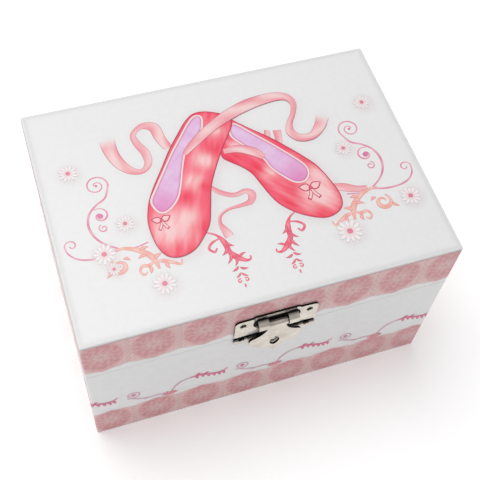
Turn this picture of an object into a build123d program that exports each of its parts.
from build123d import *
import math
import os

# Ballerina music and jewellery box. A paper-covered cardboard box with a hinged lid holds a
# spring-driven musical movement, a dancer who turns on a stage, and two velvet trays.
# Millimetres. +Z is up, the front with the clasp faces -Y. The origin is the middle of the
# underside, on the surface that the box stands on.

# ---- Driving dimensions -------------------------------------------------------------------
BOX_WIDTH = 150.0
BOX_DEPTH = 107.0
BOX_HEIGHT = 88.0
SEAM_Z = 62.0            # height of the parting line between base and lid
SEAM_GAP = 0.2
PAPER = 0.4              # printed paper skin, and the lining inside
BOARD = 2.5              # cardboard panels
EDGE_RADIUS = 0.9        # rounding of the papered edges
UNDERSIDE_SHEET = 0.5
FLOOR_TOP = 3.0
STAGE_FRONT_Y = -4.0
STAGE_TOP = 37.0
STAGE_BOARD = 2.0
SKIN = 0.4               # velvet on the stage

HINGE_X = 40.0
HINGE_LENGTH = 20.0
HINGE_KNUCKLES = 5
KNUCKLE_R = 1.5
HINGE_PIN_R = 0.75
LEAF = 0.8
LEAF_HEIGHT = 10.5
LEAF_NOTCH = 1.8
LID_OPEN_DEG = 100.0

PLATE = 0.8              # clasp plates
CLASP_HALF_WIDTH = 16.8
CLASP_NAIL_X = 13.5
CLASP_PIN_Z = 71.3
CLASP_PIN_Y = -55.7
CLASP_PIN_R = 0.7
FLAP = 0.9
FLAP_BACK_Y = -55.05
NAIL_R = 0.45
NAIL_HEAD_R = 1.3
FIT = 0.05               # radial clearance of running and screwed fits

MOVEMENT_Z = 20.0        # height of the cylinder and barrel axes
CYLINDER_R = 6.5
CYLINDER_Y = (10.0, 31.0)
TOOTH_SHARE = 0.38       # part of the pitch that a tooth fills, which leaves backlash
MAIN_MODULE = 0.5        # barrel gear and cylinder pinion
BARREL_TEETH = 54
CYLINDER_PINION_TEETH = 14
FAST_MODULE = 2.0 / 3.0  # cylinder gear, governor pinion and crown gear
CYLINDER_GEAR_TEETH = 24
GOVERNOR_PINION_TEETH = 8
WORM_MODULE = 0.4
GOVERNOR_WHEEL_TEETH = 30
WORM_PITCH_R = 1.6

# ---- Sizes that follow ---------------------------------------------------------------------
half_w = BOX_WIDTH / 2
half_d = BOX_DEPTH / 2
board_w = half_w - PAPER                 # outer faces of the boards
board_d = half_d - PAPER
in_w = board_w - BOARD                   # inner faces of the boards
in_d = board_d - BOARD
base_top = SEAM_Z - SEAM_GAP / 2
lid_bottom = SEAM_Z + SEAM_GAP / 2
rim = 0.3                                # paper turned in over the rim
lid_board_top = BOX_HEIGHT - PAPER
lid_board_bottom = lid_board_top - BOARD
stage_board_top = STAGE_TOP - SKIN
stage_under = stage_board_top - STAGE_BOARD
hinge_y = half_d + KNUCKLE_R + 0.1
barrel_x = MAIN_MODULE * (BARREL_TEETH + CYLINDER_PINION_TEETH) / 2
governor_x = FAST_MODULE * (CYLINDER_GEAR_TEETH + GOVERNOR_PINION_TEETH) / 2
worm_x = governor_x + WORM_MODULE * GOVERNOR_WHEEL_TEETH / 2 + WORM_PITCH_R
gear_y = 8.0                             # middle plane of the cylinder gear
crown_r = FAST_MODULE * CYLINDER_GEAR_TEETH / 2
dancer_y = gear_y + crown_r
wheel_y = 3.2                            # middle plane of the governor wheel and worm
bed_top = 5.4
BASE_UP = (Align.CENTER, Align.CENTER, Align.MIN)

os.makedirs("parts", exist_ok=True)


def save(name, *solids):
    """Write one sub-part, made of one or more separate solids."""
    pieces = [piece for shape in solids for piece in shape.solids()]
    shape = pieces[0] if len(pieces) == 1 else Compound(children=pieces)
    export_step(shape, f"parts/{name}.step")


def block(x0, x1, y0, y1, z0, z1):
    """A box between two opposite corners."""
    centre = Pos((x0 + x1) / 2, (y0 + y1) / 2, (z0 + z1) / 2)
    return centre * Box(x1 - x0, y1 - y0, z1 - z0)


def rod(radius, start, end):
    """A round bar from one point to another."""
    axis = Vector(*end) - Vector(*start)
    return Plane(origin=start, z_dir=axis) * Cylinder(radius, axis.length, align=BASE_UP)


def along_y(radius, x, z, y0, y1):
    return rod(radius, (x, y0, z), (x, y1, z))


def upright(radius, x, y, z0, z1):
    return rod(radius, (x, y, z0), (x, y, z1))


def front_plate(face, back_y, thickness):
    """A flat outline in X and Z, made solid from back_y towards the front."""
    plane = Plane(origin=(0, back_y, 0), x_dir=(1, 0, 0), z_dir=(0, -1, 0))
    return extrude(plane * face, thickness)


def mirrored_face(edges):
    """A closed face from the edges of its right half."""
    half = Curve() + edges
    return make_face(half.edges() + mirror(half, Plane.YZ).edges())


# ---- Fasteners ------------------------------------------------------------------------------
def nail(x, z, face_y, outward):
    """A domed nail whose head lies on the face at face_y; outward is -1 at the front."""
    inner = face_y - outward * 3.5
    shank = along_y(NAIL_R, x, z, inner, face_y)
    head = along_y(NAIL_HEAD_R, x, z, face_y, face_y + outward * 0.35)
    dome = along_y(NAIL_HEAD_R * 0.72, x, z, face_y + outward * 0.35, face_y + outward * 0.6)
    return shank + head + dome


def nail_holes(shape, places, outward):
    """The shape with a hole for each nail."""
    for x, z in places:
        y_out = outward * (half_d + 3)
        y_in = outward * (half_d - 4)
        shape = shape - along_y(NAIL_R + FIT, x, z, y_in, y_out)
    return shape


SCREW_R = 1.1
SCREW_HEAD_R = 2.1
SCREW_HEAD = 1.3
SCREW_LENGTH = 4.6


def screw(x, y, z):
    """A pan-head screw pointing down, with its head on the face at height z."""
    head = upright(SCREW_HEAD_R, x, y, z, z + SCREW_HEAD)
    slot = block(x - 3, x + 3, y - 0.25, y + 0.25, z + SCREW_HEAD - 0.5, z + SCREW_HEAD + 1)
    return upright(SCREW_R, x, y, z - SCREW_LENGTH, z) + head - slot


def screw_holes(shape, screws):
    for x, y, z in screws:
        shape = shape - upright(SCREW_R + FIT, x, y, z - SCREW_LENGTH - 0.2, z)
    return shape


# ---- Where the fasteners go -----------------------------------------------------------------
clasp_base_nails = [(-CLASP_NAIL_X, 60.0), (CLASP_NAIL_X, 60.0)]
clasp_lid_nails = [(-CLASP_NAIL_X, 72.0), (CLASP_NAIL_X, 72.0)]
hinge_nail_dx = 6.0
hinge_nail_dz = 7.0
hinge_nail_x = [side * HINGE_X + dx for side in (-1, 1) for dx in (-hinge_nail_dx, hinge_nail_dx)]
hinge_base_nails = [(x, SEAM_Z - hinge_nail_dz) for x in hinge_nail_x]
hinge_lid_nails = [(x, SEAM_Z + hinge_nail_dz) for x in hinge_nail_x]
foot_top = bed_top + 1.5
comb_top = MOVEMENT_Z + 0.5
bed_screws = [(x, y, bed_top) for x in (-24.0, 29.0) for y in (3.0, 42.0)]
comb_screws = [(-20.0, y, comb_top) for y in (15.0, 26.0)]
foot_screws = [(0.0, 1.6, foot_top), (-3.0, 28.6, foot_top), (21.0, 28.6, foot_top),
               (11.0, 43.4, foot_top), (23.0, 43.4, foot_top), (11.5, 6.0, foot_top)]


# ---- Box shell ------------------------------------------------------------------------------
def side_boards(z0, z1):
    """Front, back, left and right panels that meet face to face."""
    front = block(-board_w, board_w, -board_d, -in_d, z0, z1)
    back = block(-board_w, board_w, in_d, board_d, z0, z1)
    left = block(-board_w, -in_w, -in_d, in_d, z0, z1)
    right = block(in_w, board_w, -in_d, in_d, z0, z1)
    return front, back, left, right


def make_base_shell():
    save("base_underside_sheet", block(-board_w, board_w, -board_d, board_d, 0, UNDERSIDE_SHEET))
    floor = block(-board_w, board_w, -board_d, board_d, UNDERSIDE_SHEET, FLOOR_TOP)
    save("base_floor_board", screw_holes(floor, bed_screws + foot_screws))
    front, back, left, right = side_boards(FLOOR_TOP, base_top - rim)
    stud_hole = along_y(STUD_SHANK_R + FIT, 0, STUD_Z, -half_d - 1, -half_d + 3)
    arbor_hole = along_y(ARBOR_R + 1.0, barrel_x, MOVEMENT_Z, in_d - 1, half_d + 1)
    front = nail_holes(front, clasp_base_nails, -1) - stud_hole
    back = nail_holes(back, hinge_base_nails, 1) - arbor_hole
    save("base_side_boards", front, back, left, right)
    outer = fillet(block(-half_w, half_w, -half_d, half_d, 0, base_top).edges().filter_by(Axis.Z),
                   EDGE_RADIUS)
    hollow = block(-board_w, board_w, -board_d, board_d, -1, base_top - rim)
    mouth = block(-in_w, in_w, -in_d, in_d, 1, base_top + 1)
    wrap = outer - hollow - mouth
    wrap = nail_holes(wrap, clasp_base_nails, -1) - stud_hole
    wrap = nail_holes(wrap, hinge_base_nails, 1) - arbor_hole
    save("base_paper_wrap", wrap)


def make_lid_shell():
    top = block(-board_w, board_w, -board_d, board_d, lid_board_bottom, lid_board_top)
    save("lid_top_board", top)
    front, back, left, right = side_boards(lid_bottom + rim, lid_board_bottom)
    front = nail_holes(front, clasp_lid_nails, -1)
    back = nail_holes(back, hinge_lid_nails, 1)
    save("lid_side_boards", front, back, left, right)
    outer = block(-half_w, half_w, -half_d, half_d, lid_bottom, BOX_HEIGHT)
    edges = outer.edges().filter_by(Axis.Z) + outer.faces().sort_by(Axis.Z)[-1].edges()
    outer = fillet(edges, EDGE_RADIUS)
    hollow = block(-board_w, board_w, -board_d, board_d, lid_bottom + rim, lid_board_top)
    mouth = block(-in_w, in_w, -in_d, in_d, lid_bottom - 1, lid_board_top)
    wrap = outer - hollow - mouth
    wrap = nail_holes(wrap, clasp_lid_nails, -1)
    save("lid_paper_wrap", nail_holes(wrap, hinge_lid_nails, 1))


# ---- Inside the lid -------------------------------------------------------------------------
MIRROR_HALF = (60.0, 41.0)
MIRROR_GLASS = 2.0
FRAME_BORDER = 6.0
FRAME_LIP = 1.2


def make_lid_inside():
    top_z = lid_board_bottom
    lining = block(-in_w, in_w, -in_d, in_d, lid_bottom + 1.0, top_z)
    cut_w, cut_d = in_w - PAPER, in_d - PAPER
    lining = lining - block(-cut_w, cut_w, -cut_d, cut_d, lid_bottom, top_z - PAPER)
    save("lid_lining", lining)
    glass_top = top_z - PAPER
    mw, md = MIRROR_HALF
    save("lid_mirror", block(-mw, mw, -md, md, glass_top - MIRROR_GLASS, glass_top))
    fw, fd = mw + FRAME_BORDER, md + FRAME_BORDER
    frame = block(-fw, fw, -fd, fd, glass_top - MIRROR_GLASS - FRAME_LIP, glass_top)
    frame = fillet(frame.edges().filter_by(Axis.Z), 3.0)
    seat = block(-mw - FIT, mw + FIT, -md - FIT, md + FIT, glass_top - MIRROR_GLASS, glass_top + 1)
    window = block(-mw + 1.5, mw - 1.5, -md + 1.5, md - 1.5, glass_top - 9, glass_top)
    save("mirror_frame", frame - seat - window)
    press = block(PLUNGER_X - 4, in_w - PAPER, PLUNGER_Y - 4, PLUNGER_Y + 4,
                  lid_bottom + rim, lid_bottom + 8)
    save("lid_press_block", press)


# ---- Trays and stage ------------------------------------------------------------------------
DIVIDER_X = -9.0
DIVIDER_TOP = 34.0
PAD_TOP = 6.6
RING_BLOCK_TOP = 21.0
RING_ROLLS = 4
ROLL_TOP = 32.6
RISER = 2.0
LINING_TOP = base_top - 0.8


def make_trays():
    back_y = STAGE_FRONT_Y - RISER
    lining = block(-in_w, in_w, -in_d, back_y, FLOOR_TOP, LINING_TOP)
    hollow = block(-in_w + SKIN, in_w - SKIN, -in_d + SKIN, back_y - SKIN, FLOOR_TOP + SKIN, 99)
    over_stage = block(-in_w + SKIN, in_w - SKIN, back_y - 1, back_y + 1, STAGE_TOP, 99)
    save("tray_lining", lining - hollow - over_stage)
    walls = block(-in_w, in_w, back_y, in_d, STAGE_TOP, LINING_TOP)
    save("stage_wall_lining",
         walls - block(-in_w + SKIN, in_w - SKIN, back_y - 1, in_d - SKIN, 0, 99))
    tray_y0, tray_y1 = -in_d + SKIN, back_y - SKIN
    floor = FLOOR_TOP + SKIN
    divider = block(DIVIDER_X - 1, DIVIDER_X + 1, tray_y0, tray_y1, floor, DIVIDER_TOP)
    save("tray_divider", fillet(divider.faces().sort_by(Axis.Z)[-1].edges().filter_by(Axis.Y), 0.8))
    gap = 0.3
    pad = block(-in_w + SKIN + gap, DIVIDER_X - 1 - gap, tray_y0 + gap, tray_y1 - gap, floor, PAD_TOP)
    save("tray_pad", fillet(pad.edges().filter_by(Axis.Z), 1.0))
    ring_x0, ring_x1 = DIVIDER_X + 1 + gap, in_w - SKIN - gap
    save("ring_block", block(ring_x0, ring_x1, tray_y0 + gap, tray_y1 - gap, floor, RING_BLOCK_TOP))
    pitch = (tray_y1 - tray_y0 - 2 * gap) / RING_ROLLS
    rolls = []
    for number in range(RING_ROLLS):
        y0 = tray_y0 + gap + number * pitch
        roll = block(ring_x0, ring_x1, y0 + 0.1, y0 + pitch - 0.1, RING_BLOCK_TOP, ROLL_TOP)
        upper = roll.edges().filter_by(Axis.X).sort_by(Axis.Z)[-2:]
        rolls.append(fillet(upper, 4.6))
    save("ring_rolls", *rolls)


def make_stage():
    back_y = STAGE_FRONT_Y - RISER
    save("stage_riser", block(-in_w, in_w, back_y, STAGE_FRONT_Y, FLOOR_TOP, stage_under))
    ledges = [block(x0, x0 + 3.6, STAGE_FRONT_Y, in_d, stage_under - 4, stage_under)
              for x0 in (-in_w, in_w - 3.6)]
    save("stage_ledges", *ledges)
    bores = (upright(SPINDLE_BUSH_R, 0, dancer_y, 0, 99)
             + upright(PLUNGER_BUSH_R, PLUNGER_X, PLUNGER_Y, 0, 99))
    board = block(-in_w, in_w, back_y, in_d, stage_under, stage_board_top) - bores
    velvet = block(-in_w, in_w, back_y, in_d, stage_board_top, STAGE_TOP) - bores
    save("stage_board", board)
    save("stage_velvet", velvet)


# ---- Back hinges ----------------------------------------------------------------------------
def hinge_leaf(centre_x, up):
    """One leaf of a butt hinge on the back face; up is 1 for the lid's leaf, -1 for the base's."""
    x0, x1 = centre_x - HINGE_LENGTH / 2, centre_x + HINGE_LENGTH / 2
    low, high = sorted((SEAM_Z + up * LEAF_NOTCH, SEAM_Z + up * LEAF_HEIGHT))
    leaf = block(x0, x1, half_d, half_d + LEAF, low, high)
    pitch = HINGE_LENGTH / HINGE_KNUCKLES
    first = 1 if up > 0 else 0
    for number in range(first, HINGE_KNUCKLES, 2):
        k0, k1 = x0 + number * pitch + FIT, x0 + (number + 1) * pitch - FIT
        low, high = sorted((SEAM_Z + up * 0.1, SEAM_Z + up * (LEAF_NOTCH + 0.1)))
        leaf = leaf + block(k0, k1, half_d, half_d + LEAF, low, high)
        leaf = leaf + rod(KNUCKLE_R, (k0, hinge_y, SEAM_Z), (k1, hinge_y, SEAM_Z))
    if up > 0:
        leaf = leaf + stop_arm(centre_x)
    leaf = leaf - rod(HINGE_PIN_R + FIT, (x0 - 1, hinge_y, SEAM_Z), (x1 + 1, hinge_y, SEAM_Z))
    return leaf


STOP_INNER_R = 1.9
STOP_OUTER_R = 2.9
STOP_START_DEG = -32.0   # measured from straight up, towards the back
STOP_END_DEG = 195.0 - LID_OPEN_DEG


def stop_arm(centre_x):
    """A curved lug behind the pin that meets the base leaf when the lid is fully open."""
    width = 3.2
    plane = Plane(origin=(centre_x + width / 2, hinge_y, SEAM_Z), x_dir=(0, 0, 1), z_dir=(-1, 0, 0))
    sweep_deg = STOP_END_DEG - STOP_START_DEG
    on_axis = (Align.NONE, Align.NONE, Align.MIN)
    sector = Cylinder(STOP_OUTER_R, width, arc_size=sweep_deg, align=on_axis)
    sector = sector - Cylinder(STOP_INNER_R, width, align=BASE_UP)
    return plane * Rot(0, 0, STOP_START_DEG) * sector


def make_hinges():
    base_leaves = [nail_holes(hinge_leaf(x, -1), hinge_base_nails, 1) for x in (-HINGE_X, HINGE_X)]
    lid_leaves = [nail_holes(hinge_leaf(x, 1), hinge_lid_nails, 1) for x in (-HINGE_X, HINGE_X)]
    save("hinge_base_leaves", *base_leaves)
    save("hinge_lid_leaves", *lid_leaves)
    reach = HINGE_LENGTH / 2 + 0.4
    pins = [rod(HINGE_PIN_R, (x - reach, hinge_y, SEAM_Z), (x + reach, hinge_y, SEAM_Z))
            for x in (-HINGE_X, HINGE_X)]
    save("hinge_pins", *pins)


# ---- Clasp ----------------------------------------------------------------------------------
STUD_Z = 55.2
STUD_R = 1.35
STUD_SHANK_R = 0.8
LUG_X = (4.0, 8.2)       # the two rolled lugs that carry the pin
LUG_Z = (68.7, 75.0)
BARREL_HALF = 3.75       # half length of the flap's rolled barrel
BARREL_R = 1.45


def upper_plate_face():
    """Outline of the lid's clasp plate, right half first."""
    edge = CLASP_HALF_WIDTH
    return mirrored_face([
        Line((0, 77.1), (7.6, 77.1)),
        ThreePointArc((7.6, 77.1), (8.9, 76.9), (9.4, 76.2)),
        Line((9.4, 76.2), (15.0, 76.0)),
        ThreePointArc((15.0, 76.0), (16.2, 75.4), (edge, 74.2)),
        Line((edge, 74.2), (edge, 64.2)),
        ThreePointArc((edge, 64.2), (16.4, 63.5), (15.4, 63.4)),
        ThreePointArc((15.4, 63.4), (10.6, 64.6), (7.6, 67.6)),
        Line((7.6, 67.6), (0, 67.6)),
    ])


def lower_plate_face():
    """Outline of the base's clasp plate, which carries the stud."""
    edge = CLASP_HALF_WIDTH
    return mirrored_face([
        Line((0, 61.6), (15.8, 61.6)),
        ThreePointArc((15.8, 61.6), (16.5, 61.3), (edge, 60.6)),
        Line((edge, 60.6), (edge, 58.8)),
        ThreePointArc((edge, 58.8), (16.2, 57.6), (14.6, 57.3)),
        ThreePointArc((14.6, 57.3), (9.0, 55.6), (5.0, 51.2)),
        ThreePointArc((5.0, 51.2), (2.8, 49.9), (0, 49.6)),
    ])


def flap_face():
    """Outline of the swinging flap: a narrow neck, two lobes and a pointed tip."""
    return mirrored_face([
        Line((0, 70.6), (BARREL_HALF, 70.6)),
        Line((BARREL_HALF, 70.6), (BARREL_HALF, 67.4)),
        ThreePointArc((BARREL_HALF, 67.4), (5.8, 63.6), (9.6, 61.2)),
        ThreePointArc((9.6, 61.2), (10.9, 58.8), (9.9, 56.2)),
        ThreePointArc((9.9, 56.2), (6.8, 52.6), (2.9, 50.0)),
        ThreePointArc((2.9, 50.0), (1.0, 48.4), (0, 46.4)),
    ])


def almond(half_width, low_z, high_z):
    middle = (low_z + high_z) / 2
    return mirrored_face([ThreePointArc((0, high_z), (half_width, middle), (0, low_z))])


def clasp_lug(x0, x1):
    """A rolled lug: a rounded bulge that stands out from the plate."""
    low, high = LUG_Z
    front = CLASP_PIN_Y - 1.9
    plate_y = -half_d - PLATE
    profile = Curve() + [
        Line((plate_y + 0.4, low), (plate_y + 0.4, high)),
        Line((plate_y + 0.4, high), (plate_y, high)),
        ThreePointArc((plate_y, high), (front, CLASP_PIN_Z + 0.3), (plate_y, low)),
        Line((plate_y, low), (plate_y + 0.4, low)),
    ]
    plane = Plane(origin=(x0, 0, 0), x_dir=(0, 1, 0), z_dir=(1, 0, 0))
    return extrude(plane * make_face(profile.edges()), x1 - x0)


def make_clasp():
    upper = front_plate(upper_plate_face(), -half_d, PLATE)
    window = block(-LUG_X[0] + 0.05, LUG_X[0] - 0.05, -99, -half_d + 1, LUG_Z[0] + 0.4, 75.4)
    lug_l, lug_r = clasp_lug(-LUG_X[1], -LUG_X[0]), clasp_lug(LUG_X[0], LUG_X[1])
    upper = (upper - window) + lug_l + lug_r
    pin_start = (-LUG_X[1] - 0.4, CLASP_PIN_Y, CLASP_PIN_Z)
    pin_end = (LUG_X[1] + 0.4, CLASP_PIN_Y, CLASP_PIN_Z)
    upper = nail_holes(upper, clasp_lid_nails, -1) - rod(CLASP_PIN_R, pin_start, pin_end)
    save("clasp_upper_plate", upper)
    save("clasp_pin", rod(CLASP_PIN_R, pin_start, pin_end))
    lower = nail_holes(front_plate(lower_plate_face(), -half_d, PLATE), clasp_base_nails, -1)
    save("clasp_lower_plate", lower - along_y(STUD_SHANK_R + FIT, 0, STUD_Z, -60, -50))
    plate_y = -half_d - PLATE
    stud = (along_y(STUD_R, 0, STUD_Z, plate_y - 0.4, plate_y)
            + along_y(STUD_R * 0.7, 0, STUD_Z, plate_y - 0.65, plate_y - 0.4)
            + along_y(STUD_SHANK_R, 0, STUD_Z, plate_y, -half_d + 2.4))
    save("clasp_stud", stud)
    flap = front_plate(flap_face(), FLAP_BACK_Y, FLAP)
    flap = flap - front_plate(almond(2.05, 51.6, 59.0), FLAP_BACK_Y + 1, FLAP + 2)
    barrel = rod(BARREL_R, (-BARREL_HALF, CLASP_PIN_Y, CLASP_PIN_Z),
                 (BARREL_HALF, CLASP_PIN_Y, CLASP_PIN_Z))
    flap = flap + barrel - rod(CLASP_PIN_R + FIT, pin_start, pin_end)
    save("clasp_flap", flap)
    base_y, lid_y = -half_d - PLATE, half_d + LEAF
    save("base_nails", *[nail(x, z, base_y, -1) for x, z in clasp_base_nails],
         *[nail(x, z, lid_y, 1) for x, z in hinge_base_nails])
    save("lid_nails", *[nail(x, z, base_y, -1) for x, z in clasp_lid_nails],
         *[nail(x, z, lid_y, 1) for x, z in hinge_lid_nails])


# ---- Gears ----------------------------------------------------------------------------------
ADDENDUM = 0.8
DEDENDUM = 1.15
FLANK_SLOPE = math.tan(math.radians(20))


def gear_face(teeth, module, phase=0.0):
    """Outline of a spur gear with straight-sided teeth; phase shifts it by parts of a pitch."""
    pitch_r = teeth * module / 2
    tip_r = pitch_r + ADDENDUM * module
    root_r = pitch_r - DEDENDUM * module
    half_tooth = TOOTH_SHARE * math.pi * module / 2
    tip_half = (half_tooth - ADDENDUM * module * FLANK_SLOPE) / tip_r
    root_half = (half_tooth + DEDENDUM * module * FLANK_SLOPE * 0.6) / root_r
    corners = ((root_r, -root_half), (tip_r, -tip_half), (tip_r, tip_half), (root_r, root_half))
    points = []
    for tooth in range(teeth):
        middle = 2 * math.pi * (tooth + phase) / teeth
        for radius, offset in corners:
            points.append((radius * math.cos(middle + offset), radius * math.sin(middle + offset)))
    return make_face(Polyline(*points, close=True))


def gear_along_y(teeth, module, x, y0, y1, phase=0.0):
    plane = Plane(origin=(x, y0, MOVEMENT_Z), x_dir=(1, 0, 0), z_dir=(0, 1, 0))
    return extrude(plane * gear_face(teeth, module, phase), y1 - y0)


# ---- Spring barrel and winding key ----------------------------------------------------------
ARBOR_R = 1.6
BARREL_OUTER_R = 11.0
BARREL_WALL = 0.8
BARREL_GEAR_Y = (33.6, 35.4)
BARREL_DRUM_Y = (36.0, 45.2)
KEY_HUB_Y = (55.6, 62.6)
KEY_LOBE_R = 4.6
KEY_LOBE_Z = 5.6
KEY_LOBE_Y = 67.0


def mainspring_face():
    """A flat spiral ribbon, drawn as half turns of growing radius."""
    first_r, step, ribbon, half_turns = 3.2, 0.62, 0.32, 10
    inner, outer = [], []
    for turn in range(half_turns):
        centre = 0 if turn % 2 == 0 else step
        side = 1 if turn % 2 == 0 else -1
        for edges, extra in ((inner, 0), (outer, ribbon)):
            radius = first_r + turn * step + extra
            edges.append(ThreePointArc((centre + side * radius, 0), (centre, side * radius),
                                       (centre - side * radius, 0)))
    start = Line(inner[0] @ 0, outer[0] @ 0)
    end = Line(inner[-1] @ 1, outer[-1] @ 1)
    return make_face(Curve() + inner + outer + [start, end])


def make_barrel():
    gear = gear_along_y(BARREL_TEETH, MAIN_MODULE, barrel_x, *BARREL_GEAR_Y, phase=0.5)
    bore = along_y(ARBOR_R + FIT, barrel_x, MOVEMENT_Z, 30, 50)
    save("barrel_gear", gear - bore)
    y0, y1 = BARREL_DRUM_Y
    drum = along_y(BARREL_OUTER_R, barrel_x, MOVEMENT_Z, y0, y1)
    drum = drum + along_y(4.0, barrel_x, MOVEMENT_Z, BARREL_GEAR_Y[1], y0)
    cavity = along_y(BARREL_OUTER_R - BARREL_WALL, barrel_x, MOVEMENT_Z, y0 + 0.8, y1 - 0.8)
    save("spring_barrel", drum - cavity - bore)
    plane = Plane(origin=(barrel_x - 0.3, y0 + 1.4, MOVEMENT_Z), x_dir=(1, 0, 0), z_dir=(0, 1, 0))
    save("mainspring", extrude(plane * mainspring_face(), y1 - y0 - 2.8))


def make_key():
    arbor = along_y(ARBOR_R, barrel_x, MOVEMENT_Z, 30.8, KEY_HUB_Y[1] - 1.0)
    collar = along_y(2.6, barrel_x, MOVEMENT_Z, 47.9, 49.2)
    save("winding_arbor", arbor + collar)
    hub = along_y(2.9, barrel_x, MOVEMENT_Z, *KEY_HUB_Y)
    lobes = [Pos(KEY_LOBE_Y, z) * Circle(KEY_LOBE_R) - Pos(KEY_LOBE_Y, z) * Circle(1.9)
             for z in (-KEY_LOBE_Z, KEY_LOBE_Z)]
    web = Pos((KEY_HUB_Y[1] + KEY_LOBE_Y) / 2, 0) * Rectangle(KEY_LOBE_Y - KEY_HUB_Y[1] + 2, 6)
    plane = Plane(origin=(barrel_x - 0.8, 0, MOVEMENT_Z), x_dir=(0, 1, 0), z_dir=(1, 0, 0))
    wings = extrude(plane * (web + lobes[0] + lobes[1]), 1.6)
    key = hub + wings - along_y(ARBOR_R, barrel_x, MOVEMENT_Z, 40, KEY_HUB_Y[1] - 1.0)
    save("winding_key", key)
    ring = along_y(5.2, barrel_x, MOVEMENT_Z, half_d, half_d + 0.7)
    save("key_escutcheon", ring - along_y(ARBOR_R + 0.6, barrel_x, MOVEMENT_Z, 50, 60))


# ---- Tune cylinder and comb -----------------------------------------------------------------
CYLINDER_SHAFT_R = 1.0
TUNE_NOTES = 18
NOTE_PITCH = 1.1
FIRST_NOTE_Y = 11.15
PIN_R = 0.22
PIN_OUT = 0.3


def make_cylinder():
    y0, y1 = CYLINDER_Y
    drum = along_y(CYLINDER_R, 0, MOVEMENT_Z, y0, y1)
    shaft = along_y(CYLINDER_SHAFT_R, 0, MOVEMENT_Z, 3.4, 36.6)
    pinion = gear_along_y(CYLINDER_PINION_TEETH, MAIN_MODULE, 0, 33.2, 35.8)
    save("tune_cylinder", drum + shaft + pinion)
    gear = gear_along_y(CYLINDER_GEAR_TEETH, FAST_MODULE, 0, gear_y - 1.0, gear_y + 1.0)
    save("cylinder_gear", gear - along_y(CYLINDER_SHAFT_R, 0, MOVEMENT_Z, 0, 20))
    pins = []
    for note in range(TUNE_NOTES):
        y = FIRST_NOTE_Y + note * NOTE_PITCH
        for beat in range(4):
            angle = math.radians(90 * beat + 37 * note + 23 * (note * beat % 3))
            inner, outer = CYLINDER_R - 0.8, CYLINDER_R + PIN_OUT
            dx, dz = math.cos(angle), math.sin(angle)
            pins.append(rod(PIN_R, (inner * dx, y, MOVEMENT_Z + inner * dz),
                            (outer * dx, y, MOVEMENT_Z + outer * dz)))
    save("cylinder_pins", *pins)


COMB_X = (-25.5, -13.6)
COMB_TIP_X = -(CYLINDER_R + PIN_OUT + 0.2)


def make_comb():
    y_end = FIRST_NOTE_Y + (TUNE_NOTES - 1) * NOTE_PITCH
    comb = block(*COMB_X, FIRST_NOTE_Y - 0.9, y_end + 0.9, MOVEMENT_Z - 0.4, comb_top)
    for note in range(TUNE_NOTES):
        y = FIRST_NOTE_Y + note * NOTE_PITCH
        comb = comb + block(COMB_X[1] - 1, COMB_TIP_X, y - 0.4, y + 0.4, MOVEMENT_Z - 0.3,
                            MOVEMENT_Z + 0.3)
    save("comb", screw_holes(comb, comb_screws))


# ---- Bedplate and bearings ------------------------------------------------------------------
def make_bedplate():
    plate = block(-29, 33, -2.5, 47.8, FLOOR_TOP, bed_top)
    plate = fillet(plate.edges().filter_by(Axis.Z), 3.0)
    seat = block(COMB_X[0], COMB_X[1] - 1.2, FIRST_NOTE_Y - 0.9, 30.8, bed_top, MOVEMENT_Z - 0.4)
    bed = plate + seat
    bed = screw_holes(bed, bed_screws + comb_screws + foot_screws)
    save("movement_bedplate", bed)
    save("movement_screws", *[screw(*at) for at in bed_screws + comb_screws + foot_screws])


def bearing(x0, x1, plate_y, foot_y, top_z, shafts):
    """An upright plate with a foot, bored for its shafts, given as x and radius."""
    plate = block(x0, x1, *plate_y, bed_top, top_z)
    plate = plate + block(x0, x1, *foot_y, bed_top, foot_top)
    for x, radius in shafts:
        plate = plate - along_y(radius + FIT, x, MOVEMENT_Z, 0, 50)
    return screw_holes(plate, foot_screws)


def make_bearings():
    cylinder, arbor = (0, CYLINDER_SHAFT_R), (barrel_x, ARBOR_R)
    save("front_bearing", bearing(-4.0, 4.0, (4.4, 5.8), (-0.9, 4.4), 24.0, [cylinder]))
    save("middle_bearing", bearing(-5.5, 24.0, (31.5, 32.8), (26.0, 31.5), 25.0, [cylinder, arbor]))
    save("back_bearing", bearing(8.0, 26.0, (46.0, 47.4), (40.8, 46.0), 26.0, [arbor]))


# ---- Governor -------------------------------------------------------------------------------
GOVERNOR_SHAFT_R = 0.6
WORM_SHAFT_R = 0.5
FAN_R = 6.4
FAN_Z = (28.2, 32.8)


def make_governor_frame():
    foot = block(7.6, 22.4, -0.8, 11.2, bed_top, foot_top)
    rear = block(8.0, 22.4, 10.2, 11.2, bed_top, 27.0)
    arm = block(15.4, 22.4, 0.4, 11.2, 26.0, 27.0)
    front = block(8.2, 13.2, -0.8, 0.2, bed_top, 23.0)
    pillar = upright(2.2, worm_x, wheel_y, bed_top, 11.0)
    frame = foot + rear + arm + front + pillar
    frame = frame - along_y(GOVERNOR_SHAFT_R + FIT, governor_x, MOVEMENT_Z, -5, 15)
    frame = frame - upright(WORM_SHAFT_R + FIT, worm_x, wheel_y, 8.4, 40)
    save("governor_frame", screw_holes(frame, foot_screws))


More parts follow.
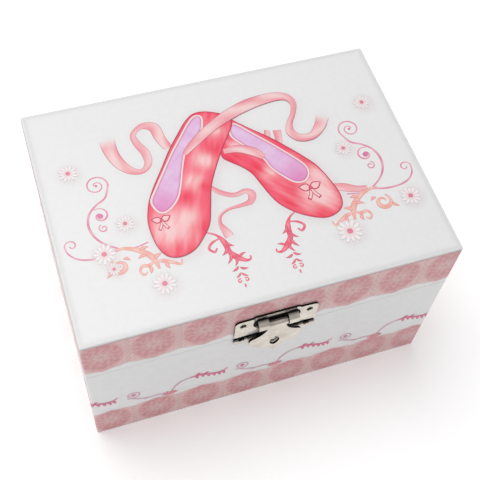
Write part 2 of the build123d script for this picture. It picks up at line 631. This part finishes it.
def worm_thread(pitch, turns):
    """A trapezoid thread wound round the worm, with a gap facing the wheel at mid height."""
    root_r = WORM_PITCH_R - DEDENDUM * WORM_MODULE
    tip_r = WORM_PITCH_R + ADDENDUM * WORM_MODULE
    half_tooth = TOOTH_SHARE * pitch / 2
    root_half = half_tooth + DEDENDUM * WORM_MODULE * FLANK_SLOPE
    tip_half = half_tooth - ADDENDUM * WORM_MODULE * FLANK_SLOPE
    path = Helix(pitch, pitch * turns, root_r)
    inner_x = root_r - 0.25
    profile = Polyline((inner_x, -root_half), (tip_r, -tip_half), (tip_r, tip_half),
                       (inner_x, root_half), close=True)
    section = Plane.XZ * make_face(profile)
    thread = sweep(section, path=path, is_frenet=True)
    return Pos(worm_x, wheel_y, MOVEMENT_Z - pitch * turns / 2) * thread


def make_governor():
    wheel = gear_along_y(GOVERNOR_WHEEL_TEETH, WORM_MODULE, governor_x, wheel_y - 0.6, wheel_y + 0.6)
    pinion = gear_along_y(GOVERNOR_PINION_TEETH, FAST_MODULE, governor_x, gear_y - 1.3, gear_y + 1.3,
                          phase=0.5)
    staff = along_y(GOVERNOR_SHAFT_R, governor_x, MOVEMENT_Z, -0.7, 11.1)
    save("governor_wheel", wheel + pinion + staff)
    pitch = math.pi * WORM_MODULE
    core_r = WORM_PITCH_R - DEDENDUM * WORM_MODULE
    worm = upright(WORM_SHAFT_R, worm_x, wheel_y, 8.5, 32.0)
    worm = worm + upright(core_r, worm_x, wheel_y, MOVEMENT_Z - 4.6, MOVEMENT_Z + 4.6)
    save("governor_worm", worm + worm_thread(pitch, 6))
    fan = upright(1.3, worm_x, wheel_y, 27.4, FAN_Z[1])
    fan = fan + block(worm_x - FAN_R, worm_x + FAN_R, wheel_y - 0.3, wheel_y + 0.3, *FAN_Z)
    save("governor_fan", fan - upright(WORM_SHAFT_R, worm_x, wheel_y, 20, 32.0))


# ---- Stop plunger, pressed down by the closed lid -------------------------------------------
PLUNGER_X = 64.0
PLUNGER_Y = 6.0
PLUNGER_R = 1.0
PLUNGER_BUSH_R = 2.4
PLUNGER_TOP = 62.2


def coil(radius, wire, turns, x, y, z0, z1):
    """A round-wire helical spring between two heights."""
    height = z1 - z0 - 2 * wire
    path = Helix(height / turns, height, radius)
    section = Plane(origin=path @ 0, z_dir=path % 0) * Circle(wire)
    return Pos(x, y, z0 + wire) * sweep(section, path=path, is_frenet=True)


def make_plunger():
    stem = upright(PLUNGER_R, PLUNGER_X, PLUNGER_Y, 6.0, PLUNGER_TOP - 1.0)
    cap = upright(1.7, PLUNGER_X, PLUNGER_Y, PLUNGER_TOP - 1.0, PLUNGER_TOP)
    collar = upright(2.4, PLUNGER_X, PLUNGER_Y, 22.0, 23.5)
    arm = block(worm_x + 6.1, PLUNGER_X, PLUNGER_Y - 0.6, PLUNGER_Y + 0.6, 26.4, 28.0)
    finger = block(worm_x + 6.1, worm_x + 7.3, PLUNGER_Y - 0.6, PLUNGER_Y + 0.6, 28.0, 31.2)
    save("stop_plunger", stem + cap + collar + arm + finger)
    guide = upright(3.6, PLUNGER_X, PLUNGER_Y, FLOOR_TOP, 11.0)
    save("plunger_guide", guide - upright(PLUNGER_R + FIT, PLUNGER_X, PLUNGER_Y, 5.0, 20))
    save("plunger_spring", coil(1.75, 0.22, 6, PLUNGER_X, PLUNGER_Y, 11.05, 21.95))
    bush = upright(PLUNGER_BUSH_R, PLUNGER_X, PLUNGER_Y, stage_under - 1.0, STAGE_TOP)
    bush = bush + upright(3.4, PLUNGER_X, PLUNGER_Y, STAGE_TOP, STAGE_TOP + 0.8)
    save("plunger_bush", bush - upright(PLUNGER_R + FIT, PLUNGER_X, PLUNGER_Y, 20, 50))


# ---- Dancer ---------------------------------------------------------------------------------
SPINDLE_R = 1.2
SPINDLE_BUSH_R = 2.8
CROWN_TOOTH_R = (crown_r - 1.1, crown_r + 1.1)
FIGURE_FOOT = 45.0
TUTU_R = 9.5


def crown_gear():
    """A face gear whose teeth point down at the cylinder gear."""
    pitch_z = MOVEMENT_Z + crown_r
    half_tooth = TOOTH_SHARE * math.pi * FAST_MODULE / 2
    low, high = pitch_z - ADDENDUM * FAST_MODULE, pitch_z + DEDENDUM * FAST_MODULE
    low_half = half_tooth - ADDENDUM * FAST_MODULE * FLANK_SLOPE
    high_half = half_tooth + DEDENDUM * FAST_MODULE * FLANK_SLOPE
    outline = Polyline((-low_half, low), (low_half, low), (high_half, high + 0.3),
                       (-high_half, high + 0.3), close=True)
    plane = Plane(origin=(0, -CROWN_TOOTH_R[0], 0), x_dir=(1, 0, 0), z_dir=(0, -1, 0))
    tooth = extrude(plane * make_face(outline), CROWN_TOOTH_R[1] - CROWN_TOOTH_R[0])
    gear = upright(CROWN_TOOTH_R[1], 0, 0, high, high + 1.4)
    step = 360.0 / CYLINDER_GEAR_TEETH
    for number in range(CYLINDER_GEAR_TEETH):
        gear = gear + Rot(0, 0, step * (number + 0.5)) * tooth
    return Pos(0, dancer_y, 0) * gear


def limb(points, radii):
    """Tapered lengths between joints, with a ball at each joint."""
    shape = None
    for start, end, r0, r1 in zip(points, points[1:], radii, radii[1:]):
        axis = Vector(*end) - Vector(*start)
        cone = Plane(origin=start, z_dir=axis) * Cone(r0, r1, axis.length, align=BASE_UP)
        piece = cone + Pos(*end) * Sphere(r1)
        shape = piece if shape is None else shape + piece
    return shape


def dancer_figure():
    """A doll on the tip of one foot, with the other foot at the knee and both arms raised."""
    foot = FIGURE_FOOT
    leg = limb([(0, 0, foot - 0.2), (0, 0, foot + 2), (0, 0.2, foot + 5), (0, 0, foot + 8),
                (0.5, 0, foot + 14.5)], [0.5, 0.55, 1.0, 0.75, 1.5])
    raised = limb([(-0.7, 0, foot + 14), (-4.0, -1.8, foot + 11), (-0.9, -0.6, foot + 7.6)],
                  [1.4, 0.9, 0.45])
    hips = Pos(0, 0, foot + 15) * scale(Sphere(1.0), by=(2.1, 1.7, 1.6))
    waist = limb([(0, 0, foot + 15.5), (0, 0, foot + 17.2), (0, -0.1, foot + 20)], [1.8, 1.35, 1.8])
    chest = Pos(0, 0, foot + 20.6) * scale(Sphere(1.0), by=(2.2, 1.5, 1.5))
    neck = upright(0.62, 0, 0, foot + 21, foot + 24.4)
    head = Pos(0, -0.1, foot + 25.8) * scale(Sphere(1.0), by=(1.65, 1.85, 2.1))
    bun = Pos(0, 1.1, foot + 27.9) * Sphere(1.0)
    figure = leg + raised + hips + waist + chest + neck + head + bun
    for side in (-1, 1):
        arm = limb([(side * 1.9, 0, foot + 21.2), (side * 4.6, -0.8, foot + 26.6),
                    (side * 3.3, -1.2, foot + 31.2), (side * 0.9, -1.2, foot + 33.4)],
                   [0.62, 0.55, 0.42, 0.4])
        figure = figure + arm
    peg = upright(1.5, 0, 0, foot - 1.2, foot)
    return figure + peg


def make_dancer():
    spindle = upright(SPINDLE_R, 0, dancer_y, 28.0, 40.2)
    cup = upright(2.6, 0, dancer_y, 38.9, 40.2)
    save("dancer_spindle", spindle + crown_gear() + cup)
    bush = upright(SPINDLE_BUSH_R, 0, dancer_y, stage_under - 2.5, STAGE_TOP)
    bush = bush + upright(4.6, 0, dancer_y, STAGE_TOP, STAGE_TOP + 1.5)
    save("spindle_bush", bush - upright(SPINDLE_R + FIT, 0, dancer_y, 20, 50))
    save("dancer_spring", coil(1.5, 0.24, 4, 0, dancer_y, 40.2, FIGURE_FOOT - 1.2))
    save("dancer_figure", Pos(0, dancer_y, 0) * dancer_figure())
    waist = FIGURE_FOOT + 15.2
    skirt = Cone(TUTU_R, 3.0, 2.6, align=BASE_UP) - Cone(TUTU_R - 1.5, 2.0, 1.6, align=BASE_UP)
    skirt = skirt - upright(2.5, 0, 0, -5, 5)
    save("dancer_tutu", Pos(0, dancer_y, waist - 0.6) * skirt)


make_base_shell()
make_lid_shell()
make_lid_inside()
make_trays()
make_stage()
make_hinges()
make_clasp()
make_barrel()
make_key()
make_cylinder()
make_comb()
make_bedplate()
make_bearings()
make_governor_frame()
make_governor()
make_plunger()
make_dancer()
